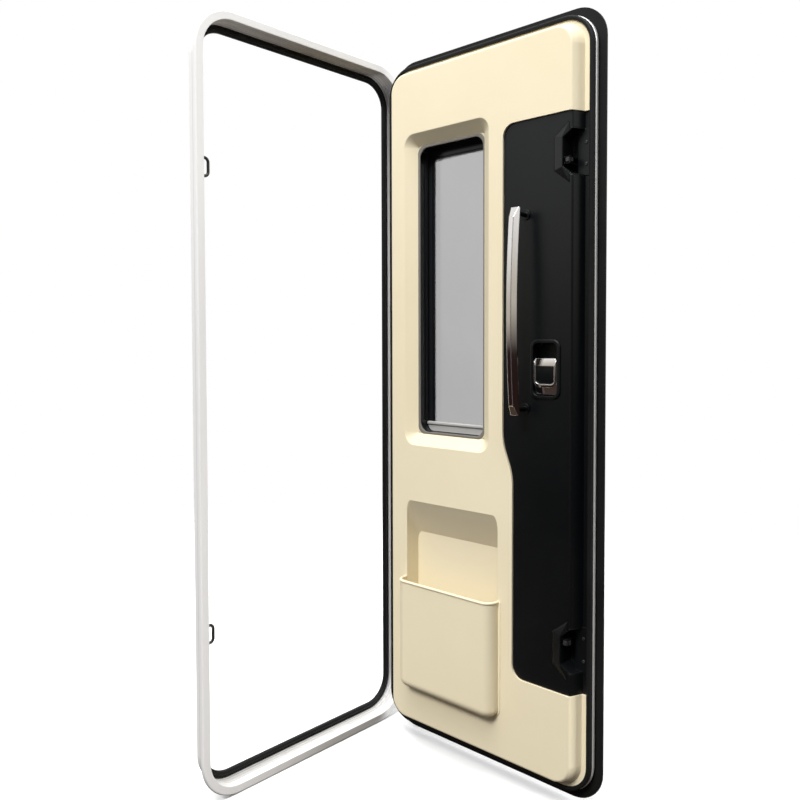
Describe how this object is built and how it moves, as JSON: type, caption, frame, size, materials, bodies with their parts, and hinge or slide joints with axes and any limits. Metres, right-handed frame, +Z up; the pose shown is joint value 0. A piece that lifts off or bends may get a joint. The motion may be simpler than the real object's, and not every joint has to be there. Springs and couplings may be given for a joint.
{
  "type": "caravan entry door",
  "caption": "Caravan entry door: rounded white frame and hinged leaf with moulded inner panel, window, storage pocket, grab handle and release lever.",
  "frame": {"origin": "middle of the frame's bottom flange, on its back face that meets the caravan wall", "axes": "+Z up, +Y into the caravan, +X towards the hinge side"},
  "size_m": [0.668, 0.7107, 1.8],
  "materials": {
    "white_frame": "satin white powder coat",
    "white_skin": "gloss white sheet",
    "black_rubber": "matt",
    "bare_aluminium": "satin",
    "cream_moulding": "fine satin",
    "black_panel": "satin, fine grain",
    "black_trim": "gloss",
    "grey_trim": "satin",
    "window_pane": "clear grey tint",
    "chrome": "bright",
    "black_steel": "satin black coat",
    "steel": "brushed",
    "hinge_white": "satin white coat"
  },
  "bodies": {
    "frame": {"outer_frame": "white_frame", "frame_seal": "black_rubber", "upper_striker": "black_steel", "lower_striker": "black_steel", "upper_hinge_bracket": "hinge_white", "middle_hinge_bracket": "hinge_white", "lower_hinge_bracket": "hinge_white", "upper_hinge_pin": "steel", "middle_hinge_pin": "steel", "lower_hinge_pin": "steel"},
    "leaf": {"outer_skin": "white_skin", "rim_seal": "black_rubber", "edge_profile": "bare_aluminium", "leaf_seal": "black_rubber", "inner_panel": "cream_moulding", "lock_panel": "black_panel", "pocket_bin": "cream_moulding", "window_surround": "black_trim", "window_trim": "grey_trim", "window_glass": "window_pane", "window_outer_frame": "black_trim", "blind_rail": "bare_aluminium", "grab_handle": "chrome", "upper_handle_foot": "black_panel", "lower_handle_foot": "black_panel", "release_cup": "black_panel", "release_pin": "steel", "upper_latch_housing": "black_panel", "lower_latch_housing": "black_panel", "upper_latch_claw": "black_steel", "lower_latch_claw": "black_steel", "outer_handle_bezel": "black_trim", "outer_handle_pull": "black_steel", "lock_cylinder": "steel", "upper_hinge_arm": "hinge_white", "middle_hinge_arm": "hinge_white", "lower_hinge_arm": "hinge_white"},
    "lever": {"release_lever": "chrome", "lever_pad": "black_trim"}
  },
  "joints": [
    {"name": "door_swing", "type": "hinge", "parent": "frame", "child": "leaf", "pos_m": [0.2986, -0.0426, 0.9], "axis": [0, 0, 1], "range_deg": [-90, 80]},
    {"name": "release_pull", "type": "hinge", "parent": "leaf", "child": "lever", "pos_m": [0.229, -0.5447, 0.9305], "axis": [0, -1, 0], "range_deg": [0, 28], "stiffness_Nm_per_rad": 0.6}
  ]
}
